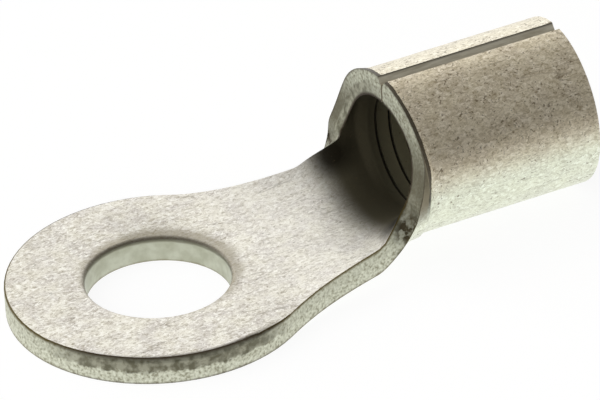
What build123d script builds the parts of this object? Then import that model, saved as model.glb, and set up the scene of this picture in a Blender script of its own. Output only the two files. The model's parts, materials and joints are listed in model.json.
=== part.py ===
"""Ring terminal for a stud: a flat ring and tongue that run into a rolled, butt-seamed wire barrel.

One piece of stamped and rolled sheet. Millimetres. The origin is the middle of the stud hole on the
tongue's underside, +Z is up and +X runs along the barrel towards the end where the wire goes in.
"""
import os
from math import asin, atan2, cos, pi, sin, sqrt

from build123d import *

os.makedirs("parts", exist_ok=True)

# Driving sizes
sheet = 1.2  # thickness of the strip
stud_hole = 6.4  # diameter of the hole
ring_width = 13.4  # across the ring
neck_width = 7.8  # across the tongue where its edges begin to turn up
neck_taper = 0.16  # how fast each edge closes in there
stud_to_mouth = 11.25  # middle of the hole to the barrel's mouth
barrel_bore = 5.2  # inside diameter of the barrel
barrel_length = 8.65  # from the mouth to the wire end
mouth_flare = 0.42  # how far each side of the mouth stands out from the bore
seam_gap = 0.12  # between the two butted edges
seam_mouth = 0.66  # the V that rolling opens along the outside of the seam, across
seam_depth = 0.34  # and down to the gap
groove_pitch = 0.68  # between the gripping grooves
groove_depth = 0.12
groove_width = 0.14
groove_count = 5
rollover = 0.2  # rounding that the punch leaves on the hole's top edge

land = 0.1  # flat left between that rounding and the start of the trough

# Sizes that follow from them
hole_r = stud_hole / 2
ring_r = ring_width / 2
bore_r = barrel_bore / 2
barrel_r = bore_r + sheet
axis_z = barrel_r
neck_half = neck_width / 2
mouth_r = bore_r + mouth_flare
shoulder_x = hole_r + rollover + land  # the tongue's edges leave the ring here
shoulder_half = sqrt(ring_r**2 - shoulder_x**2)
neck_x = stud_to_mouth - 0.79 * bore_r
root_x = stud_to_mouth - 0.13 * bore_r  # where the rising edges reach the barrel's axis
rim_z = axis_z + 0.75 * bore_r  # the rim is square to the barrel from here up
bell_end = stud_to_mouth + 0.22 * bore_r  # the flare has died away here
end_x = stud_to_mouth + barrel_length
spare = sheet / 2  # sheet left outside the outline before it is trimmed
most_slant = 0.9  # radians that the edge's face may stand off square to the sheet
ream = 0.01  # how much narrower the bore is in front of the first groove
hair = 0.01  # a short step along the part, to take a slope over
beyond = 2 * ring_width  # past the part on every side


def smooth(f):
    f = min(1, max(0, f))
    return f * f * (3 - 2 * f)


def curl(x):
    """One over the half-width of the trough's section: none at the ring, the mouth's in the mouth."""
    f = (x - shoulder_x) / (stud_to_mouth - shoulder_x)
    return (0.66 * f**0.8 + 0.34 * smooth((f - 0.66) / 0.3)) / mouth_r


def point(bend, wrap, depth=0.0):
    """Point of a section with that curl, wrapped up from the middle by an angle, at a depth in the sheet."""
    side, up = bend * bore_r * sin(wrap), cos(wrap)
    size = sqrt(side * side + up * up)
    y = sin(wrap) / bend + depth * side / size
    return (y, sheet + bore_r * (1 - cos(wrap)) - depth * up / size)


def untrimmed(x):
    """Wrap of the sheet before its outline is cut: it has closed up to the seam by the root."""
    begun = neck_x - 0.4 * (neck_x - shoulder_x)
    closed = smooth((x - begun) / (root_x - begun))
    return (shoulder_half + spare) * curl(x) * (1 - closed) + (pi - seam_gap / barrel_bore / 2) * closed


def edge(x):
    """Wrap of the sheet's edge: it follows the tongue to the neck, then turns up to the barrel's axis."""
    run = neck_x - shoulder_x
    if x <= neck_x:
        f = (x - shoulder_x) / run
        half = shoulder_half + (neck_half - shoulder_half) * smooth(f)
        half -= run * f * (1 - f) * ((1 - f) * shoulder_x / shoulder_half - f * neck_taper)
        return asin(curl(x) * half)
    start = edge(neck_x)
    rate = (start - edge(neck_x - hair)) / hair * (root_x - neck_x) / (pi / 2 - start)
    f = (x - neck_x) / (root_x - neck_x)
    return start + (pi / 2 - start) * (rate * f + (0.7 - rate) * f**2.5 + 0.3 * f**9)


def cut(x, depth):
    """Point of the edge's face, which stands upright along the tongue and turns square to the barrel."""
    y, z = point(curl(x), edge(x))
    square = atan2(curl(x) * bore_r * sin(edge(x)), cos(edge(x)))
    lean = square - min(square, most_slant) * (1 - smooth((x - neck_x) / (root_x - neck_x)))
    return (y + depth * sin(lean), z - depth * cos(lean))


with BuildPart() as ring_terminal:
    # The sheet from the ring to the mouth, flat at first and then a trough that closes to a slit tube,
    # and from there the mouth's flare
    across = [k / 6 for k in range(-6, 7)]
    even = [k / 12 for k in range(13)]
    for start, stop, steps in ((shoulder_x, stud_to_mouth, 40), (stud_to_mouth, bell_end, 6)):
        for step in range(steps + 1):
            x = start + (stop - start) * step / steps
            if x > shoulder_x:
                left = min(1, (bell_end - x) / (bell_end - stud_to_mouth))
                inside = outside = curl(x)
                if left < 1:
                    inside = 1 / (bore_r + mouth_flare * smooth(left))
                    outside = 1 / (bore_r + mouth_flare * left**2)
                inner = [point(inside, untrimmed(x) * k, ream * (left - 1)) for k in across]
                outer = [point(outside, untrimmed(x) * k, sheet) for k in across]
            else:
                inner = [((shoulder_half + spare) * k, sheet) for k in across]
                outer = [((shoulder_half + spare) * k, 0) for k in across]
            with BuildSketch(Plane.YZ.offset(x)):
                with BuildLine():
                    add(Edge.make_spline(inner, parameters=even))
                    Line(inner[-1], outer[-1])
                    add(Edge.make_spline(outer[::-1], parameters=even))
                    Line(outer[0], inner[0])
                make_face()
        loft()

    # Its outline, up to the barrel's axis
    with BuildPart(mode=Mode.PRIVATE) as waste:
        cuts = 28
        for step in range(-1, cuts + 1):
            x = shoulder_x + (root_x - shoulder_x) * step / cuts
            half = shoulder_half + (shoulder_x - x) * shoulder_x / shoulder_half
            above, below = (half, 3 * sheet), (half, -0.7 * sheet)
            if step > 0:
                above, below = cut(x, -0.6 * bore_r), cut(x, 1.8 * sheet)
            with BuildSketch(Plane.YZ.offset(x)):
                with BuildLine():
                    Polyline(
                        (-seam_gap, above[1] + sheet),
                        above,
                        below,
                        (beyond, below[1] - sheet),
                        (beyond, beyond),
                        (-seam_gap, beyond),
                        close=True,
                    )
                make_face()
        loft()
        mirror(about=Plane.XZ)
    add(waste.part, mode=Mode.SUBTRACT)

    # then a corner that sweeps up to the square rim of the mouth
    rise = bore_r * (edge(root_x) - edge(root_x - hair)) / hair
    with BuildSketch(Plane.XZ):
        with BuildLine():
            Spline((root_x, axis_z), (stud_to_mouth, rim_z), tangents=[(1, rise), (0, 1)])
            Polyline(
                (stud_to_mouth, rim_z),
                (stud_to_mouth, beyond),
                (root_x - spare, beyond),
                (root_x - spare, axis_z),
                (root_x, axis_z),
            )
        make_face()
    extrude(amount=beyond, both=True, mode=Mode.SUBTRACT)

    # The barrel, with gripping grooves round its bore
    extrude(faces().sort_by(Axis.X)[-1], amount=end_x - bell_end)
    grooves = [bell_end + (k + 0.5) * groove_pitch for k in range(groove_count)]
    with BuildSketch(Plane.YZ.offset(grooves[0])):
        with Locations((0, axis_z)):
            Circle(bore_r)
    extrude(amount=beyond, mode=Mode.SUBTRACT)
    with Locations(*[(x, 0, axis_z) for x in grooves]):
        Cylinder(bore_r + groove_depth, groove_width, rotation=(0, 90, 0), mode=Mode.SUBTRACT)

    # The butt seam along its top
    top_z = axis_z + barrel_r
    with BuildSketch(Plane.YZ.offset(root_x)):
        with BuildLine():
            Polyline(
                (0, axis_z),
                (seam_gap / 2, axis_z),
                (seam_gap / 2, top_z - seam_depth),
                (seam_mouth / 2, top_z),
                (seam_mouth / 2, beyond),
                (0, beyond),
                close=True,
            )
        make_face()
        mirror(about=Plane.YZ)
    extrude(amount=beyond, mode=Mode.SUBTRACT)

    # The ring and its stud hole
    with BuildSketch():
        Circle(ring_r)
        with Locations((shoulder_x + ring_r, 0)):
            Rectangle(ring_width, ring_width, mode=Mode.SUBTRACT)
    extrude(amount=sheet)
    # whose top edge the punch has rolled over
    with BuildSketch(Plane.XZ):
        with BuildLine():
            corner = RadiusArc((hole_r, sheet - rollover), (hole_r + rollover, sheet), rollover)
            Polyline(corner @ 1, (hole_r + rollover, 2 * sheet), (0, 2 * sheet))
            Polyline((0, 2 * sheet), (0, -sheet), (hole_r, -sheet), corner @ 0)
        make_face()
    revolve(mode=Mode.SUBTRACT)

ring_terminal.part.label = "ring_terminal"
export_step(ring_terminal.part, "parts/ring_terminal.step")
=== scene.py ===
import json
from math import hypot, radians

import bpy
from mathutils import Matrix, Vector
from mathutils.bvhtree import BVHTree


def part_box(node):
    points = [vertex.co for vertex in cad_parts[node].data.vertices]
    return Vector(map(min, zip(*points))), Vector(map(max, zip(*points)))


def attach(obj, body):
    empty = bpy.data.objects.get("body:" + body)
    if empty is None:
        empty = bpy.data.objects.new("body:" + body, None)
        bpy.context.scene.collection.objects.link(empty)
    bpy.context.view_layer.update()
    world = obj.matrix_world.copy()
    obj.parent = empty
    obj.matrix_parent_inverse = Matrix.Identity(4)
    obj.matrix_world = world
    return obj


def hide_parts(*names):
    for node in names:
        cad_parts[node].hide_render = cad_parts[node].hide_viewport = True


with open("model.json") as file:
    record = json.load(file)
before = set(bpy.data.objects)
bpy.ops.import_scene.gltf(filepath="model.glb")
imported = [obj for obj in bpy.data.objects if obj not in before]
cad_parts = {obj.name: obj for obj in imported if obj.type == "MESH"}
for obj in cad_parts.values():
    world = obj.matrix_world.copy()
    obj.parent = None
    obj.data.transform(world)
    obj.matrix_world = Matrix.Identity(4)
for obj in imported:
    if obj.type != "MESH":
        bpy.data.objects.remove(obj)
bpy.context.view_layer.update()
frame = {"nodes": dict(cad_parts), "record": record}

MM = 0.001

# Material slots of the terminal
EDGE, OUTSIDE, INSIDE, WALL, FLANK, GROOVE = range(6)

# Sizes of the terminal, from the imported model
mounts = {mount["name"]: mount for mount in frame["record"]["mounts"]}
part_low, part_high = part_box("ring_terminal")
hole_r = mounts["stud_hole"]["dims"]["r_mm"] * MM
bore_r = mounts["wire_barrel"]["dims"]["r_mm"] * MM
axis_z = mounts["wire_barrel"]["pos_m"][2]
ring_r = -part_low.x
end_x = part_high.x
sheet = axis_z - bore_r
barrel_r = bore_r + sheet
barrel_length = 8.65 * MM  # from the mouth to the wire end
mouth_x = end_x - barrel_length
seam_top = part_high.z

# Sizes of the plating's patterns. The real grain and pits are a few hundredths of a millimetre across, too
# fine to show, so they are drawn coarser.
cloud_size = 0.9 * MM
grain_size = 0.14 * MM
pit_size = 0.13 * MM
stain_size = 0.45 * MM
tear_size = 0.35 * MM  # of the ragged line between the burnished and the torn band of a cut edge
wall_grain = 0.5 * MM
streak_size = 0.15 * MM
# of the tone in the grooves' painted shade
groove_tone_size = 0.2 * MM


def add_camera():
    """Long lens from 400 mm, above the terminal and to its left: the photograph's place, fitted to it."""
    bpy.ops.object.camera_add(location=(-0.13927376, -0.30521265, 0.21310193))
    camera = bpy.context.active_object
    camera.name = "photo_camera"
    right = Vector((0.88755181, -0.45824286, -0.04759482))
    down = Vector((-0.27829487, -0.450935, -0.84806225))
    ahead = Vector((0.3671563, 0.76594458, -0.52775482))
    turn = Matrix((right, -down, -ahead)).transposed().to_4x4()
    camera.matrix_world = Matrix.Translation(camera.location) @ turn
    camera.data.sensor_width = 36
    camera.data.lens = 548.97
    camera.data.clip_start, camera.data.clip_end = 0.01, 10
    bpy.context.scene.camera = camera


def srgb(code):
    """Hex sRGB colour to linear RGBA."""
    parts = [int(code[i:i + 2], 16) / 255 for i in (1, 3, 5)]
    return tuple(p / 12.92 if p <= 0.04045 else ((p + 0.055) / 1.055) ** 2.4 for p in parts) + (1.0,)


def add_node(tree, kind, wires=None, **settings):
    """Adds a node with its settings, and gives each input a value or another node's output. An input goes by
    its name, or by its number where several share a name."""
    node = tree.nodes.new(kind)
    for name, value in settings.items():
        setattr(node, name, value)
    for name, source in (wires or {}).items():
        if isinstance(source, bpy.types.NodeSocket):
            tree.links.new(source, node.inputs[name])
        else:
            node.inputs[name].default_value = source
    return node


def new_material(name):
    material = bpy.data.materials.new(name)
    material.use_nodes = True
    material.node_tree.nodes.clear()
    return material, material.node_tree


def mirrored_rays(tree):
    """1 for a ray that shows its surface in metal or through glass, and 0 for any other."""
    ray = add_node(tree, "ShaderNodeLightPath")
    return add_node(
        tree,
        "ShaderNodeMath",
        {0: ray.outputs["Is Glossy Ray"], 1: ray.outputs["Is Transmission Ray"]},
        operation="MAXIMUM",
    ).outputs[0]


def white_table():
    """Plain white paper. It gives most of its light itself, so that it comes out white, and keeps shadows."""
    bpy.ops.object.select_all(action="DESELECT")
    bpy.ops.mesh.primitive_plane_add(size=4, location=(0, 0, 0))
    floor = bpy.context.active_object
    floor.name = "table"
    paper, t = new_material("white_paper")
    matt = add_node(t, "ShaderNodeBsdfDiffuse", {"Color": srgb("#f4f4f2")})
    mirrored = mirrored_rays(t)
    own_light = 0.82
    share = add_node(t, "ShaderNodeMath", {0: mirrored, 1: own_light}, operation="MAXIMUM").outputs[0]
    # the table dims towards the open front of the tent, as the metal sees it
    spot = add_node(t, "ShaderNodeTexCoord").outputs["Object"]
    across = add_node(t, "ShaderNodeSeparateXYZ", {0: spot}).outputs["Y"]
    near, far = -9 * MM, -30 * MM
    dim = add_node(t, "ShaderNodeMapRange", {0: across, 1: near, 2: far, 3: 1.05, 4: 0.4}).outputs[0]
    level = add_node(t, "ShaderNodeMix", {0: mirrored, 2: 1.08, 3: dim}, data_type="FLOAT").outputs[0]
    glow = add_node(t, "ShaderNodeEmission", {"Color": (1, 1, 1, 1), "Strength": level})
    lit = add_node(t, "ShaderNodeMixShader", {0: share, 1: matt.outputs[0], 2: glow.outputs[0]})
    add_node(t, "ShaderNodeOutputMaterial", {0: lit.outputs[0]})
    floor.data.materials.append(paper)


def white_tent():
    """Tent that the metal mirrors: white at the back, dimmer overhead and darkest at its open front."""
    world = bpy.data.worlds.new("tent")
    bpy.context.scene.world = world
    world.use_nodes = True
    t = world.node_tree
    t.nodes.clear()
    # its brightness follows how far to the back a ray points, from -1 at the front to 1
    way = add_node(t, "ShaderNodeTexCoord").outputs["Generated"]
    back = add_node(t, "ShaderNodeSeparateXYZ", {0: way}).outputs["Y"]
    roof = add_node(
        t,
        "ShaderNodeMapRange",
        {0: back, 1: 0.3, 2: 0.75, 3: 0.46, 4: 1.42},
        interpolation_type="SMOOTHSTEP",
    ).outputs[0]
    front = add_node(t, "ShaderNodeMapRange", {0: back, 1: -0.95, 2: -0.45, 3: 0.35, 4: 1.0}).outputs[0]
    tent = add_node(t, "ShaderNodeMath", {0: roof, 1: front}, operation="MULTIPLY").outputs[0]
    soft = add_node(
        t, "ShaderNodeMix", {0: mirrored_rays(t), 2: 0.4, 3: tent}, data_type="FLOAT"
    ).outputs[0]
    seen = add_node(t, "ShaderNodeLightPath").outputs["Is Camera Ray"]
    bright = add_node(t, "ShaderNodeMix", {0: seen, 2: soft, 3: 1.0}, data_type="FLOAT").outputs[0]
    sky = add_node(t, "ShaderNodeBackground", {"Color": (1, 1, 1, 1), "Strength": bright})
    add_node(t, "ShaderNodeOutputWorld", {0: sky.outputs[0]})


def soft_lamps():
    """Two large lamps to the left, outside the tent: they light the table and the matt part of the metal."""
    lamps = (("key", (-0.45, 0.25, 0.35), 1.0, 3.0), ("fill", (-0.3, -0.45, 0.25), 0.6, 0.8))
    for name, spot, size, power in lamps:
        bpy.ops.object.light_add(type="AREA", location=spot)
        lamp = bpy.context.active_object
        lamp.name = name
        lamp.data.size = size
        lamp.data.energy = power
        lamp.visible_glossy = False
        lamp.rotation_euler = Vector(spot).to_track_quat("Z", "Y").to_euler()


def both_sides(t, place):
    """Places with the part's far side laid on its near one, so that one spot marks both."""
    folded = add_node(t, "ShaderNodeMath", {0: place.outputs["Y"]}, operation="ABSOLUTE").outputs[0]
    return add_node(
        t, "ShaderNodeCombineXYZ", {0: place.outputs["X"], 1: folded, 2: place.outputs["Z"]}
    ).outputs[0]


def ring_marks(t, at, place, cloud, colour):
    """Painted shade on top of the ring, where the press drew its corners down, partly a stain round the stud
    hole.
    """
    # painted shade, partly a brownish stain, on the rounding that the punch drew down round the stud hole,
    # most on the side of the barrel
    off_centre = (-0.28 * MM, -0.24 * MM, 0)
    round_hole = add_node(t, "ShaderNodeMapping", {"Vector": at, "Location": off_centre}).outputs[0]
    flat = add_node(
        t, "ShaderNodeVectorMath", {0: round_hole, 1: (1, 1, 0)}, operation="MULTIPLY"
    ).outputs[0]
    out = add_node(t, "ShaderNodeVectorMath", {0: flat}, operation="LENGTH").outputs["Value"]
    ragged = add_node(
        t, "ShaderNodeMath", {0: cloud, 1: -0.5 * MM, 2: out}, operation="MULTIPLY_ADD"
    ).outputs[0]
    drawn = add_node(
        t, "ShaderNodeMapRange", {0: ragged, 1: hole_r - 0.15 * MM, 2: hole_r + 0.3 * MM, 3: 0.62, 4: 0.0}
    ).outputs[0]
    colour = add_node(
        t, "ShaderNodeMix", {0: drawn, 6: colour, 7: srgb("#8f856c")}, data_type="RGBA"
    ).outputs[2]
    # painted shade along the outer corner, which is drawn down the same way, most along one side
    level = add_node(t, "ShaderNodeVectorMath", {0: at, 1: (1, 1, 0)}, operation="MULTIPLY").outputs[0]
    reach = add_node(t, "ShaderNodeVectorMath", {0: level}, operation="LENGTH").outputs["Value"]
    outline = add_node(
        t, "ShaderNodeMapRange", {0: reach, 1: ring_r - 0.42 * MM, 2: ring_r - 0.2 * MM, 3: 0.0, 4: 0.9}
    ).outputs[0]
    strong = add_node(
        t, "ShaderNodeMapRange", {0: place.outputs["Y"], 1: -3.4 * MM, 2: -6.2 * MM, 3: 0.0, 4: 1.0}
    ).outputs[0]
    on_ring = add_node(
        t, "ShaderNodeMapRange", {0: place.outputs["X"], 1: 1.2 * MM, 2: hole_r, 3: 1.0, 4: 0.0}
    ).outputs[0]
    outline = add_node(t, "ShaderNodeMath", {0: outline, 1: strong}, operation="MULTIPLY").outputs[0]
    outline = add_node(t, "ShaderNodeMath", {0: outline, 1: on_ring}, operation="MULTIPLY").outputs[0]
    colour = add_node(
        t, "ShaderNodeMix", {0: outline, 6: colour, 7: srgb("#3f3624")}, data_type="RGBA"
    ).outputs[2]
    # and painted shade in the rounding itself, most at the back
    backwards = (0.5 / (2 * MM), 0.866 / (2 * MM), 0)
    toward = add_node(
        t, "ShaderNodeVectorMath", {0: flat, 1: backwards}, operation="DOT_PRODUCT"
    ).outputs["Value"]
    far_side = add_node(t, "ShaderNodeMapRange", {0: toward, 1: -0.3, 2: 1.0, 3: 0.0, 4: 0.6}).outputs[0]
    curve = add_node(
        t,
        "ShaderNodeMapRange",
        {0: place.outputs["Z"], 1: sheet - 0.05 * MM, 2: sheet - 0.01 * MM, 3: 1.0, 4: 0.0},
    ).outputs[0]
    close = add_node(t, "ShaderNodeMath", {0: out, 1: hole_r + 0.6 * MM}, operation="LESS_THAN").outputs[0]
    shaded = add_node(t, "ShaderNodeMath", {0: curve, 1: far_side}, operation="MULTIPLY").outputs[0]
    shaded = add_node(t, "ShaderNodeMath", {0: shaded, 1: close}, operation="MULTIPLY").outputs[0]
    colour = add_node(
        t, "ShaderNodeMix", {0: shaded, 6: colour, 7: srgb("#4a4230")}, data_type="RGBA"
    ).outputs[2]
    return colour


def trough_marks(t, place, colour):
    """Painted light on the tongue and painted shade from the trough down the bore, and how rough the plating
    is along the way.
    """
    # painted light: the tongue is painted brighter towards the trough
    tongue_light = add_node(
        t, "ShaderNodeMapRange", {0: place.outputs["X"], 1: 2.5 * MM, 2: 6.5 * MM, 3: 0.0, 4: 0.22}
    ).outputs[0]
    colour = add_node(
        t, "ShaderNodeMix", {0: tongue_light, 6: colour, 7: srgb("#fffdf6")}, data_type="RGBA"
    ).outputs[2]
    # painted shade where the trough closes, kept on down the bore
    deep = add_node(
        t,
        "ShaderNodeMapRange",
        {0: place.outputs["X"], 1: mouth_x - 2.75 * MM, 2: mouth_x - 0.9 * MM},
        interpolation_type="SMOOTHSTEP",
    ).outputs[0]
    far = add_node(
        t, "ShaderNodeMapRange", {0: place.outputs["X"], 1: mouth_x + 0.4 * MM, 2: mouth_x + 1.6 * MM}
    ).outputs[0]
    dull = add_node(
        t, "ShaderNodeMix", {0: far, 6: srgb("#565140"), 7: srgb("#97927a")}, data_type="RGBA"
    ).outputs[2]
    colour = add_node(t, "ShaderNodeMix", {0: deep, 6: colour, 7: dull}, data_type="RGBA").outputs[2]
    # and painted shade, darkest in the two corners where its walls fold up
    fold = (mouth_x - 1.05 * MM, 3.1 * MM, 2.5 * MM)
    corner = add_node(
        t, "ShaderNodeVectorMath", {0: both_sides(t, place), 1: fold}, operation="DISTANCE"
    ).outputs["Value"]
    corner_shade = add_node(
        t, "ShaderNodeMapRange", {0: corner, 1: 0.4 * MM, 2: 1.3 * MM, 3: 0.9, 4: 0.0}
    ).outputs[0]
    colour = add_node(
        t, "ShaderNodeMix", {0: corner_shade, 6: colour, 7: srgb("#1f1b11")}, data_type="RGBA"
    ).outputs[2]
    smooth = add_node(t, "ShaderNodeMapRange", {0: deep, 3: 0.5, 4: 0.68}).outputs[0]
    return colour, smooth


def barrel_marks(t, at, place, colour):
    """Painted light and tint on the barrel, with tarnish and stains. Also gives how high up it a point is,
    and the stains' pattern.
    """
    # painted light and tint: the barrel is painted paler below and towards its far side, with a greenish cast
    # below and a warm one round its upper half, where it is also a little tarnished
    warm = add_node(
        t,
        "ShaderNodeMapRange",
        {0: place.outputs["Z"], 1: 3.0 * MM, 2: 5.0 * MM},
        interpolation_type="SMOOTHSTEP",
    ).outputs[0]
    side = add_node(
        t, "ShaderNodeMapRange", {0: place.outputs["Y"], 1: -0.6 * MM, 2: 0.3 * MM, 3: 1.0, 4: 0.2}
    ).outputs[0]
    tarnish_and_shade = add_node(t, "ShaderNodeMath", {0: warm, 1: side}, operation="MULTIPLY").outputs[0]
    pale = add_node(t, "ShaderNodeMapRange", {0: tarnish_and_shade, 3: 0.3, 4: 0.0}).outputs[0]
    colour = add_node(
        t, "ShaderNodeMix", {0: pale, 6: colour, 7: srgb("#fffffa")}, data_type="RGBA"
    ).outputs[2]
    cast = add_node(
        t, "ShaderNodeMix", {0: warm, 6: srgb("#f8fff5"), 7: srgb("#fffcf4")}, data_type="RGBA"
    ).outputs[2]
    colour = add_node(
        t, "ShaderNodeMix", {0: 1.0, 6: colour, 7: cast}, data_type="RGBA", blend_type="MULTIPLY"
    ).outputs[2]
    tan = add_node(
        t, "ShaderNodeMix", {0: tarnish_and_shade, 6: (1, 1, 1, 1), 7: srgb("#fef9f3")}, data_type="RGBA"
    ).outputs[2]
    colour = add_node(
        t, "ShaderNodeMix", {0: 1.0, 6: colour, 7: tan}, data_type="RGBA", blend_type="MULTIPLY"
    ).outputs[2]
    # brown stains and clusters of pits there
    stain = add_node(
        t, "ShaderNodeTexNoise", {"Vector": at, "Scale": 1 / stain_size, "Detail": 5.0}
    ).outputs[0]
    blot = add_node(t, "ShaderNodeMapRange", {0: stain, 1: 0.5, 2: 0.72, 3: 0.08, 4: 0.5}).outputs[0]
    brown = add_node(t, "ShaderNodeMath", {0: blot, 1: tarnish_and_shade}, operation="MULTIPLY").outputs[0]
    colour = add_node(
        t, "ShaderNodeMix", {0: brown, 6: colour, 7: srgb("#aa9b7e")}, data_type="RGBA"
    ).outputs[2]
    return colour, warm, stain


def burr_shadow_and_lip(t, place, stain, colour):
    """Painted shadow behind the burr that the rolling raised round the mouth."""
    # painted shadow: a dark line just behind the burr at the rim of the mouth, widest half way down
    behind = add_node(t, "ShaderNodeMath", {0: place.outputs["X"], 1: -mouth_x}, operation="ADD").outputs[0]
    down = add_node(
        t,
        "ShaderNodeMapRange",
        {0: place.outputs["Z"], 1: 7.2 * MM, 2: 4.6 * MM, 3: 0.12 * MM, 4: 0.3 * MM},
    ).outputs[0]
    taper = add_node(
        t, "ShaderNodeMapRange", {0: place.outputs["Z"], 1: 3.2 * MM, 2: 4.8 * MM, 3: 0.2, 4: 1.0}
    ).outputs[0]
    width = add_node(t, "ShaderNodeMath", {0: down, 1: taper}, operation="MULTIPLY").outputs[0]
    wavy = add_node(
        t, "ShaderNodeMath", {0: stain, 1: 0.1 * MM, 2: width}, operation="MULTIPLY_ADD"
    ).outputs[0]
    burr = add_node(t, "ShaderNodeMath", {0: behind, 1: wavy}, operation="LESS_THAN").outputs[0]
    above = add_node(
        t, "ShaderNodeMapRange", {0: place.outputs["Z"], 1: 2.4 * MM, 2: 3.6 * MM, 3: 0.0, 4: 0.9}
    ).outputs[0]
    line = add_node(t, "ShaderNodeMath", {0: burr, 1: above}, operation="MULTIPLY").outputs[0]
    colour = add_node(
        t, "ShaderNodeMix", {0: line, 6: colour, 7: srgb("#2f281b")}, data_type="RGBA"
    ).outputs[2]
    # and the rim's own grey brown in front of that line, where the flare shows beside the rim
    lip = add_node(t, "ShaderNodeMath", {0: behind, 1: 0.24 * MM}, operation="ADD").outputs[0]
    lip = add_node(t, "ShaderNodeMath", {0: lip, 1: wavy}, operation="LESS_THAN").outputs[0]
    lip = add_node(t, "ShaderNodeMath", {0: lip, 1: above}, operation="MULTIPLY").outputs[0]
    colour = add_node(
        t, "ShaderNodeMix", {0: lip, 6: colour, 7: srgb("#8b846f")}, data_type="RGBA"
    ).outputs[2]
    return colour


def matte_tin(name, inside):
    """Matte electroplated tin on rolled copper strip: pale warm grey with a soft sheen, a fine frosty grain
    drawn out a little the way the strip was rolled, cream flecks, dull pits and hairline scratches."""
    material, t = new_material(name)
    at = add_node(t, "ShaderNodeTexCoord").outputs["Object"]
    place = add_node(t, "ShaderNodeSeparateXYZ", {0: at})
    rolled = add_node(t, "ShaderNodeMapping", {"Vector": at, "Scale": (0.62, 1, 1)}).outputs[0]
    cloud = add_node(
        t, "ShaderNodeTexNoise", {"Vector": at, "Scale": 1 / cloud_size, "Detail": 4.0}
    ).outputs[0]
    grain = add_node(
        t,
        "ShaderNodeTexNoise",
        {"Vector": rolled, "Scale": 1 / grain_size, "Detail": 4.0, "Roughness": 0.8, "Distortion": 0.9},
    ).outputs[0]

    # the plating is cream in some places and a colder grey in others
    tint = add_node(t, "ShaderNodeMapRange", {0: cloud, 1: 0.36, 2: 0.62}).outputs[0]
    cold, cream = (srgb("#dad5cd"), srgb("#e9e5d8")) if inside else (srgb("#d8d3c6"), srgb("#e6e2d2"))
    colour = add_node(t, "ShaderNodeMix", {0: tint, 6: cold, 7: cream}, data_type="RGBA").outputs[2]

    # grain: darker hollows and frosty high spots
    low = add_node(t, "ShaderNodeMapRange", {0: grain, 1: 0.3, 2: 0.5, 3: 1.0, 4: 0.0}).outputs[0]
    colour = add_node(
        t, "ShaderNodeMix", {0: low, 6: colour, 7: srgb("#988d76")}, data_type="RGBA"
    ).outputs[2]
    high = add_node(t, "ShaderNodeMapRange", {0: grain, 1: 0.52, 2: 0.62, 3: 0.0, 4: 1.0}).outputs[0]
    colour = add_node(
        t, "ShaderNodeMix", {0: high, 6: colour, 7: srgb("#fbf9f1")}, data_type="RGBA"
    ).outputs[2]

    # hairline scratches from handling, a few hundredths wide and drawn a little wider to show
    scratch_gap = 0.55 * MM
    swept = add_node(
        t, "ShaderNodeMapping", {"Vector": at, "Rotation": (0.3, 0.5, 0.6), "Scale": (0.12, 1, 1)}
    ).outputs[0]
    lie = add_node(
        t, "ShaderNodeTexNoise", {"Vector": swept, "Scale": 1 / scratch_gap, "Detail": 1.0}
    ).outputs[0]
    scratch = add_node(t, "ShaderNodeMath", {0: lie, 1: 0.62, 2: 0.006}, operation="COMPARE").outputs[0]
    faint = add_node(t, "ShaderNodeMath", {0: scratch, 1: 0.45}, operation="MULTIPLY").outputs[0]
    colour = add_node(
        t, "ShaderNodeMix", {0: faint, 6: colour, 7: srgb("#7d7360")}, data_type="RGBA"
    ).outputs[2]

    if inside:
        colour = ring_marks(t, at, place, cloud, colour)
        colour, smooth = trough_marks(t, place, colour)
    else:
        colour, warm, stain = barrel_marks(t, at, place, colour)
        colour = burr_shadow_and_lip(t, place, stain, colour)
        smooth = add_node(t, "ShaderNodeMapRange", {0: grain, 1: 0.3, 2: 0.7, 3: 0.52, 4: 0.4}).outputs[0]

    # pits, closer together where the cloud is dark
    pit = add_node(t, "ShaderNodeTexNoise", {"Vector": at, "Scale": 1 / pit_size, "Detail": 2.0}).outputs[0]
    crowd = add_node(t, "ShaderNodeMath", {0: cloud, 1: -0.25, 2: pit}, operation="MULTIPLY_ADD").outputs[0]
    if not inside:
        fewer = add_node(t, "ShaderNodeMapRange", {0: warm, 3: -0.035, 4: 0.0}).outputs[0]
        crowd = add_node(t, "ShaderNodeMath", {0: crowd, 1: fewer}, operation="ADD").outputs[0]
    edge, most = (0.56, 0.55) if inside else (0.5, 0.75)
    hole = add_node(
        t, "ShaderNodeMapRange", {0: crowd, 1: edge, 2: edge + 0.06, 3: 0.0, 4: most}
    ).outputs[0]
    colour = add_node(
        t, "ShaderNodeMix", {0: hole, 6: colour, 7: srgb("#6b5d45")}, data_type="RGBA"
    ).outputs[2]

    relief = add_node(
        t, "ShaderNodeBump", {"Strength": 0.6, "Distance": 0.012 * MM, "Height": grain}
    ).outputs[0]
    body = add_node(
        t,
        "ShaderNodeBsdfPrincipled",
        {"Base Color": colour, "Metallic": 0.9, "Roughness": smooth, "Normal": relief},
    )
    add_node(t, "ShaderNodeOutputMaterial", {0: body.outputs[0]})
    return material


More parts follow.
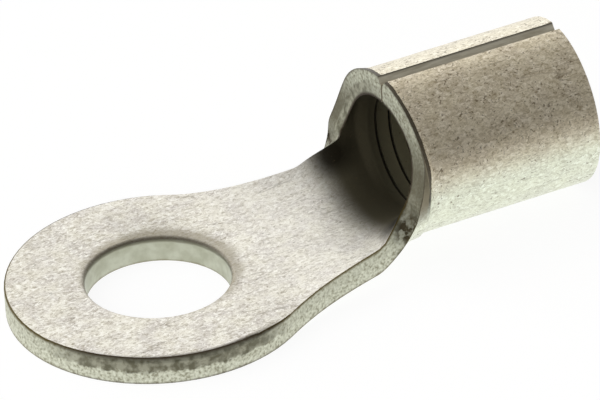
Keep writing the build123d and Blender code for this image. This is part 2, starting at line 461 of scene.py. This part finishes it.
def blanked_edge(name):
    """Edge of the strip as the press cut it, then plated: a drawn corner darkened with painted shade, a
    burnished band that is grey and smeared round the ring, and a paler, frosted band where the metal tore.
    The rim of the mouth, which was rolled up after it was cut, is pale all over between two corners of brown
    painted shade."""
    material, t = new_material(name)
    at = add_node(t, "ShaderNodeTexCoord").outputs["Object"]
    place = add_node(t, "ShaderNodeSeparateXYZ", {0: at})
    through = add_node(t, "ShaderNodeAttribute", attribute_name="through").outputs["Fac"]
    tear = add_node(
        t, "ShaderNodeTexNoise", {"Vector": at, "Scale": 1 / tear_size, "Detail": 4.0}
    ).outputs[0]
    grain = add_node(
        t, "ShaderNodeTexNoise", {"Vector": at, "Scale": 1 / pit_size, "Detail": 3.0}
    ).outputs[0]

    frost = add_node(t, "ShaderNodeMapRange", {0: grain, 1: 0.35, 2: 0.65}).outputs[0]
    colour = add_node(
        t, "ShaderNodeMix", {0: frost, 6: srgb("#b9b9a3"), 7: srgb("#e2e4d2")}, data_type="RGBA"
    ).outputs[2]

    # the rim of the mouth is greyer, and brownish where it comes round to its widest, while the wire end is a
    # plain cut
    rolled = add_node(
        t, "ShaderNodeMapRange", {0: place.outputs["X"], 1: mouth_x - 1.1 * MM, 2: mouth_x - 0.4 * MM}
    ).outputs[0]
    this_end = add_node(
        t, "ShaderNodeMath", {0: place.outputs["X"], 1: mouth_x + 2 * MM}, operation="LESS_THAN"
    ).outputs[0]
    rolled = add_node(t, "ShaderNodeMath", {0: rolled, 1: this_end}, operation="MULTIPLY").outputs[0]
    grey = add_node(
        t, "ShaderNodeMix", {0: frost, 6: srgb("#9a9985"), 7: srgb("#ced0bd")}, data_type="RGBA"
    ).outputs[2]
    colour = add_node(t, "ShaderNodeMix", {0: rolled, 6: colour, 7: grey}, data_type="RGBA").outputs[2]
    wide = add_node(
        t, "ShaderNodeMapRange", {0: place.outputs["Z"], 1: 6.4 * MM, 2: 4.6 * MM, 3: 0.0, 4: 0.85}
    ).outputs[0]
    brownish = add_node(t, "ShaderNodeMath", {0: wide, 1: rolled}, operation="MULTIPLY").outputs[0]
    colour = add_node(
        t, "ShaderNodeMix", {0: brownish, 6: colour, 7: srgb("#625d49")}, data_type="RGBA"
    ).outputs[2]

    # the burnished band, darkest on two sides of the ring a little askew to the part
    askew = (0.35, 0.94, 0)
    along = add_node(t, "ShaderNodeVectorMath", {0: at, 1: askew}, operation="DOT_PRODUCT").outputs["Value"]
    side = add_node(t, "ShaderNodeMath", {0: along}, operation="ABSOLUTE").outputs[0]
    front = add_node(
        t,
        "ShaderNodeMapRange",
        {0: side, 1: 3.7 * MM, 2: 6.0 * MM, 3: 0.15, 4: 1.0},
        interpolation_type="SMOOTHSTEP",
    ).outputs[0]
    front = add_node(t, "ShaderNodeMix", {0: this_end, 2: 0.2, 3: front}, data_type="FLOAT").outputs[0]
    uneven = add_node(
        t, "ShaderNodeMath", {0: tear, 1: 0.4, 2: through}, operation="MULTIPLY_ADD"
    ).outputs[0]
    smeared = add_node(t, "ShaderNodeMapRange", {0: uneven, 1: 0.69, 2: 0.77, 3: 1.0, 4: 0.0}).outputs[0]
    share = add_node(t, "ShaderNodeMath", {0: smeared, 1: front}, operation="MULTIPLY").outputs[0]
    smear = add_node(t, "ShaderNodeMapRange", {0: tear, 1: 0.38, 2: 0.6}).outputs[0]
    band = add_node(
        t, "ShaderNodeMix", {0: smear, 6: srgb("#6f6d5a"), 7: srgb("#a5a491")}, data_type="RGBA"
    ).outputs[2]
    colour = add_node(t, "ShaderNodeMix", {0: share, 6: colour, 7: band}, data_type="RGBA").outputs[2]

    # cracks and dark burrs where the edge was bent hard, at the foot of the mouth's rim
    foot = (mouth_x - 0.9 * MM, 3.95 * MM, 2.3 * MM)
    nearer = add_node(
        t, "ShaderNodeVectorMath", {0: both_sides(t, place), 1: foot}, operation="DISTANCE"
    ).outputs["Value"]
    bent = add_node(
        t, "ShaderNodeMapRange", {0: nearer, 1: 0.45 * MM, 2: 0.95 * MM, 3: 1.0, 4: 0.0}
    ).outputs[0]
    torn = add_node(t, "ShaderNodeMapRange", {0: tear, 1: 0.46, 2: 0.54, 3: 1.0, 4: 0.4}).outputs[0]
    cracked = add_node(t, "ShaderNodeMath", {0: bent, 1: torn}, operation="MULTIPLY").outputs[0]
    colour = add_node(
        t, "ShaderNodeMix", {0: cracked, 6: colour, 7: srgb("#4d4633")}, data_type="RGBA"
    ).outputs[2]

    # dull spots, and painted shade along both corners of the cut, darker on the two askew sides and on the
    # rim
    spot = add_node(t, "ShaderNodeMapRange", {0: grain, 1: 0.34, 2: 0.44, 3: 0.4, 4: 0.0}).outputs[0]
    colour = add_node(
        t, "ShaderNodeMix", {0: spot, 6: colour, 7: srgb("#77725c")}, data_type="RGBA"
    ).outputs[2]
    wander = add_node(
        t, "ShaderNodeMath", {0: tear, 1: -0.1, 2: through}, operation="MULTIPLY_ADD"
    ).outputs[0]
    inner = add_node(t, "ShaderNodeMapRange", {0: wander, 1: 0.0, 2: 0.1, 3: 1.0, 4: 0.0}).outputs[0]
    outer = add_node(t, "ShaderNodeMapRange", {0: wander, 1: 0.86, 2: 0.94, 3: 0.0, 4: 0.7}).outputs[0]
    corner = add_node(t, "ShaderNodeMath", {0: inner, 1: outer}, operation="MAXIMUM").outputs[0]
    deeper_shade = add_node(t, "ShaderNodeMath", {0: front, 1: rolled}, operation="MAXIMUM").outputs[0]
    dark = add_node(
        t, "ShaderNodeMix", {0: deeper_shade, 6: srgb("#6a5f38"), 7: srgb("#3d3222")}, data_type="RGBA"
    ).outputs[2]
    colour = add_node(t, "ShaderNodeMix", {0: corner, 6: colour, 7: dark}, data_type="RGBA").outputs[2]

    relief = add_node(
        t, "ShaderNodeBump", {"Strength": 0.8, "Distance": 0.02 * MM, "Height": grain}
    ).outputs[0]
    body = add_node(
        t,
        "ShaderNodeBsdfPrincipled",
        {"Base Color": colour, "Metallic": 0.8, "Roughness": 0.58, "Normal": relief},
    )
    add_node(t, "ShaderNodeOutputMaterial", {0: body.outputs[0]})
    return material


def pierced_wall(name):
    """Wall of the stud hole, wiped smooth by the punch and plated a cool pale grey, with a dark line where it
    starts under the rounded corner and a brown one where the slug broke away."""
    material, t = new_material(name)
    at = add_node(t, "ShaderNodeTexCoord").outputs["Object"]
    height = add_node(t, "ShaderNodeSeparateXYZ", {0: at}).outputs["Z"]
    grain = add_node(
        t, "ShaderNodeTexNoise", {"Vector": at, "Scale": 1 / wall_grain, "Detail": 5.0}
    ).outputs[0]
    tone = add_node(t, "ShaderNodeMapRange", {0: grain, 1: 0.35, 2: 0.65}).outputs[0]
    colour = add_node(
        t, "ShaderNodeMix", {0: tone, 6: srgb("#b2b49f"), 7: srgb("#c6c9b6")}, data_type="RGBA"
    ).outputs[2]
    wavy = add_node(
        t, "ShaderNodeMath", {0: grain, 1: 0.12 * MM, 2: height}, operation="MULTIPLY_ADD"
    ).outputs[0]
    top = add_node(
        t, "ShaderNodeMapRange", {0: wavy, 1: sheet - 0.22 * MM, 2: sheet - 0.14 * MM, 3: 0.0, 4: 0.6}
    ).outputs[0]
    colour = add_node(
        t, "ShaderNodeMix", {0: top, 6: colour, 7: srgb("#4c432f")}, data_type="RGBA"
    ).outputs[2]
    foot = add_node(
        t, "ShaderNodeMapRange", {0: wavy, 1: 0.08 * MM, 2: 0.16 * MM, 3: 0.5, 4: 0.0}
    ).outputs[0]
    colour = add_node(
        t, "ShaderNodeMix", {0: foot, 6: colour, 7: srgb("#7a6f52")}, data_type="RGBA"
    ).outputs[2]
    body = add_node(
        t, "ShaderNodeBsdfPrincipled", {"Base Color": colour, "Metallic": 0.8, "Roughness": 0.45}
    )
    add_node(t, "ShaderNodeOutputMaterial", {0: body.outputs[0]})
    return material


def seam_flank(name):
    """Sloping flank of the butt seam: the strip's cut edge, drawn smooth along the barrel, brownish grey and
    darker along its upper corner."""
    material, t = new_material(name)
    at = add_node(t, "ShaderNodeTexCoord").outputs["Object"]
    height = add_node(t, "ShaderNodeSeparateXYZ", {0: at}).outputs["Z"]
    drawn = add_node(t, "ShaderNodeMapping", {"Vector": at, "Scale": (0.15, 1, 1)}).outputs[0]
    streak = add_node(
        t, "ShaderNodeTexNoise", {"Vector": drawn, "Scale": 1 / streak_size, "Detail": 3.0}
    ).outputs[0]
    tone = add_node(t, "ShaderNodeMapRange", {0: streak, 1: 0.35, 2: 0.65}).outputs[0]
    colour = add_node(
        t, "ShaderNodeMix", {0: tone, 6: srgb("#bcb49f"), 7: srgb("#dbd5c3")}, data_type="RGBA"
    ).outputs[2]
    wavy = add_node(
        t, "ShaderNodeMath", {0: streak, 1: 0.08 * MM, 2: height}, operation="MULTIPLY_ADD"
    ).outputs[0]
    upper = add_node(
        t, "ShaderNodeMapRange", {0: wavy, 1: seam_top - 0.05 * MM, 2: seam_top + 0.02 * MM, 3: 0.0, 4: 0.8}
    ).outputs[0]
    colour = add_node(
        t, "ShaderNodeMix", {0: upper, 6: colour, 7: srgb("#3c3325")}, data_type="RGBA"
    ).outputs[2]
    relief = add_node(
        t, "ShaderNodeBump", {"Strength": 0.5, "Distance": 0.01 * MM, "Height": streak}
    ).outputs[0]
    body = add_node(
        t,
        "ShaderNodeBsdfPrincipled",
        {"Base Color": colour, "Metallic": 0.8, "Roughness": 0.5, "Normal": relief},
    )
    add_node(t, "ShaderNodeOutputMaterial", {0: body.outputs[0]})
    return material


def groove_shade(name):
    """Painted shade in the gripping grooves: dark, dull brown."""
    material, t = new_material(name)
    at = add_node(t, "ShaderNodeTexCoord").outputs["Object"]
    grain = add_node(
        t, "ShaderNodeTexNoise", {"Vector": at, "Scale": 1 / groove_tone_size, "Detail": 3.0}
    ).outputs[0]
    tone = add_node(t, "ShaderNodeMapRange", {0: grain, 1: 0.35, 2: 0.65}).outputs[0]
    colour = add_node(
        t, "ShaderNodeMix", {0: tone, 6: srgb("#15110a"), 7: srgb("#2b2516")}, data_type="RGBA"
    ).outputs[2]
    body = add_node(
        t, "ShaderNodeBsdfPrincipled", {"Base Color": colour, "Metallic": 0.2, "Roughness": 0.8}
    )
    add_node(t, "ShaderNodeOutputMaterial", {0: body.outputs[0]})
    return material


def deselect(mesh):
    for group in (mesh.vertices, mesh.edges, mesh.polygons):
        for item in group:
            item.select = False


def slots_beside(mesh):
    """Material slots of the faces on both sides of each edge."""
    slots = {}
    for face in mesh.polygons:
        for key in face.edge_keys:
            slots.setdefault(key, set()).add(face.material_index)
    return slots


def off_axis(point):
    """How far a point is from the barrel's axis."""
    return hypot(point.y, point.z - axis_z)


def assign_slot(piece, slot, wanted, spread=0):
    """Gives a material slot to the faces that pass a test of centre and normal, and to the faces that lie
    flat or nearly flat beside them."""
    bpy.ops.object.mode_set(mode="OBJECT")
    deselect(piece.data)
    for face in piece.data.polygons:
        face.select = wanted(face.center, face.normal)
    bpy.ops.object.mode_set(mode="EDIT")
    if spread:
        bpy.ops.mesh.faces_select_linked_flat(sharpness=radians(spread))
    piece.active_material_index = slot
    bpy.ops.object.material_slot_assign()


def sort_faces(piece):
    """Sorts the faces by how they were made. What passes none of these tests is a cut edge."""
    assign_slot(piece, EDGE, lambda c, n: True)
    # the underside with the trough's outside, and the barrel's outside
    assign_slot(piece, OUTSIDE, lambda c, n: n.z < -0.99 and c.z < 0.01 * MM, spread=40)
    assign_slot(
        piece,
        OUTSIDE,
        lambda c, n: c.x > mouth_x + MM
        and off_axis(c) > barrel_r * 0.98
        and n.x < 0.5
        and abs(c.y) > 0.4 * MM,
        spread=40,
    )
    # the top of the ring with the trough's inside, and the bore
    assign_slot(
        piece, INSIDE, lambda c, n: n.z > 0.99 and abs(c.z - sheet) < 0.01 * MM and c.x < 0, spread=40
    )
    assign_slot(
        piece,
        INSIDE,
        lambda c, n: c.x > mouth_x + 0.1 * MM
        and off_axis(c) < bore_r * 1.05
        and n.x < 0.9
        and abs(n.y) < 0.999,
    )
    # the stud hole's wall below its rounding
    assign_slot(piece, WALL, lambda c, n: hypot(c.x, c.y) < hole_r + 0.02 * MM and c.z < 0.9 * sheet)
    # the seam's sloping flanks
    assign_slot(
        piece,
        FLANK,
        lambda c, n: c.x > mouth_x
        and abs(c.y) < 0.34 * MM
        and c.z > axis_z + bore_r * 0.98
        and -0.9 < n.x < 0.9
        and abs(n.y) > 0.5,
    )
    # the grooves' walls and floors
    assign_slot(
        piece,
        GROOVE,
        lambda c, n: mouth_x + 0.6 * MM < c.x < end_x - 0.1 * MM
        and bore_r * 1.01 < off_axis(c) < bore_r + 0.14 * MM
        and n.x > -0.99
        and abs(n.y) < 0.999
        and (abs(n.x) > 0.9 or off_axis(c) > bore_r + 0.1 * MM),
    )


def mark_depth(piece):
    """Keeps at each corner how far it lies through the sheet, from 0 on the inside to 1 on the outside."""
    mesh = piece.data
    corners = [vertex.co for vertex in mesh.vertices]
    skins = []
    for slot in (INSIDE, OUTSIDE):
        faces = [tuple(face.vertices) for face in mesh.polygons if face.material_index == slot]
        skins.append(BVHTree.FromPolygons(corners, faces))
    through = mesh.attributes.new("through", "FLOAT", "POINT")
    for vertex in mesh.vertices:
        inner, outer = (skin.find_nearest(vertex.co)[3] for skin in skins)
        through.data[vertex.index].value = inner / max(inner + outer, 0.001 * MM)


def pick_edges(piece, slots, wanted):
    """Selects the edges between two material slots whose ends pass a test, and opens edit mode on them."""
    bpy.ops.object.mode_set(mode="OBJECT")
    mesh = piece.data
    sides = slots_beside(mesh)
    deselect(mesh)
    for edge in mesh.edges:
        if sides[edge.key] == slots and all(wanted(mesh.vertices[i].co) for i in edge.vertices):
            edge.select = True
            for i in edge.vertices:
                mesh.vertices[i].select = True
    bpy.ops.object.mode_set(mode="EDIT")
    bpy.ops.mesh.select_mode(type="EDGE")


def even_rim(piece):
    """Evens out both corners of the strip's edge where it turns up out of the tongue into the mouth."""
    rim_start, rim_end = mouth_x - 2.2 * MM, mouth_x - 0.02 * MM
    repeats = 14  # more would flatten the S that the rim makes there
    for slots in ({EDGE, OUTSIDE}, {EDGE, INSIDE}):
        pick_edges(piece, slots, lambda co: rim_start < co.x < rim_end and co.z > 0.9 * MM)
        bpy.ops.object.mode_set(mode="OBJECT")
        mesh = piece.data
        beside = {}
        for edge in mesh.edges:
            if edge.select:
                one, other = edge.vertices
                beside.setdefault(one, []).append(other)
                beside.setdefault(other, []).append(one)
        for _ in range(repeats):
            moved = {}
            for i, near in beside.items():
                if len(near) == 2:
                    middle = (mesh.vertices[near[0]].co + mesh.vertices[near[1]].co) / 2
                    moved[i] = mesh.vertices[i].co.lerp(middle, 0.5)
            for i, co in moved.items():
                mesh.vertices[i].co = co


def round_top_corner(piece):
    """Rounds the corner that the press drew down round the top of the ring, most along the near side, and
    lets the rounding run out where the tongue begins."""
    bpy.ops.object.mode_set(mode="EDIT")
    bpy.ops.mesh.select_all(action="SELECT")
    bpy.ops.mesh.dissolve_limited(angle_limit=radians(0.6), delimit={"MATERIAL"})
    ring_end = hole_r + 0.31 * MM
    pick_edges(piece, {EDGE, INSIDE}, lambda co: co.x < ring_end)
    bpy.ops.object.mode_set(mode="OBJECT")
    mesh = piece.data
    weight = mesh.attributes.new("bevel_weight_edge", "FLOAT", "EDGE")
    for edge in mesh.edges:
        if edge.select:
            middle = (mesh.vertices[edge.vertices[0]].co + mesh.vertices[edge.vertices[1]].co) / 2
            left = min(1, (ring_end - middle.x) / (3 * MM))
            near = min(1, max(0, (-2 * MM - middle.y) / (3 * MM)))
            weight.data[edge.index].value = left * (0.3 + 0.7 * near)
    rounding = piece.modifiers.new("drawn_corner", "BEVEL")
    rounding.width = 0.24 * MM
    rounding.segments = 4
    rounding.limit_method = "WEIGHT"
    rounding.use_clamp_overlap = False
    rounding.material = EDGE
    bpy.ops.object.modifier_apply(modifier=rounding.name)
    bpy.ops.object.mode_set(mode="EDIT")
    bpy.ops.mesh.select_mode(type="FACE")


def divide_edge_faces(piece):
    """Adds corners across the cut faces, so that their bands follow the sheet."""
    bpy.ops.object.mode_set(mode="OBJECT")
    deselect(piece.data)
    for face in piece.data.polygons:
        face.select = face.material_index == EDGE
    bpy.ops.object.mode_set(mode="EDIT")
    bpy.ops.mesh.quads_convert_to_tris()
    bpy.ops.mesh.subdivide(number_cuts=1)
    bpy.ops.mesh.select_all(action="SELECT")
    bpy.ops.mesh.quads_convert_to_tris()
    bpy.ops.mesh.select_all(action="DESELECT")
    bpy.ops.mesh.select_mode(type="EDGE")
    bpy.ops.object.mode_set(mode="OBJECT")


def build_terminal():
    """The terminal's skin, a copy of the solid's mesh, with its faces sorted by how they were made."""
    bpy.ops.object.select_all(action="DESELECT")
    piece = bpy.data.objects.new("tinned_terminal", frame["nodes"]["ring_terminal"].data.copy())
    bpy.context.collection.objects.link(piece)
    piece.select_set(True)
    bpy.context.view_layer.objects.active = piece
    mesh = piece.data
    mesh.materials.clear()
    # in the order of the slots
    materials = (
        blanked_edge("blanked_tinned_edge"),
        matte_tin("matte_tin_plate", False),
        matte_tin("matte_tin_plate_inside", True),
        pierced_wall("pierced_tinned_wall"),
        seam_flank("butted_seam_edge"),
        # the grooves' material is painted shade
        groove_shade("shaded_groove"),
    )
    for material in materials:
        mesh.materials.append(material)
    bpy.ops.object.mode_set(mode="EDIT")
    bpy.ops.mesh.select_mode(type="FACE")
    bpy.ops.mesh.select_all(action="SELECT")
    bpy.ops.mesh.remove_doubles(threshold=0.002 * MM)
    bpy.ops.mesh.customdata_custom_splitnormals_clear()
    sort_faces(piece)
    even_rim(piece)
    round_top_corner(piece)
    divide_edge_faces(piece)
    slots = slots_beside(mesh)
    for edge in mesh.edges:
        edge.use_edge_sharp = len(slots[edge.key]) > 1
    mark_depth(piece)
    bpy.ops.object.shade_smooth_by_angle(angle=radians(32), keep_sharp_edges=True)
    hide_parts("ring_terminal")
    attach(piece, "root")


bpy.context.scene.view_settings.view_transform = "Standard"
add_camera()
white_table()
white_tent()
soft_lamps()
build_terminal()
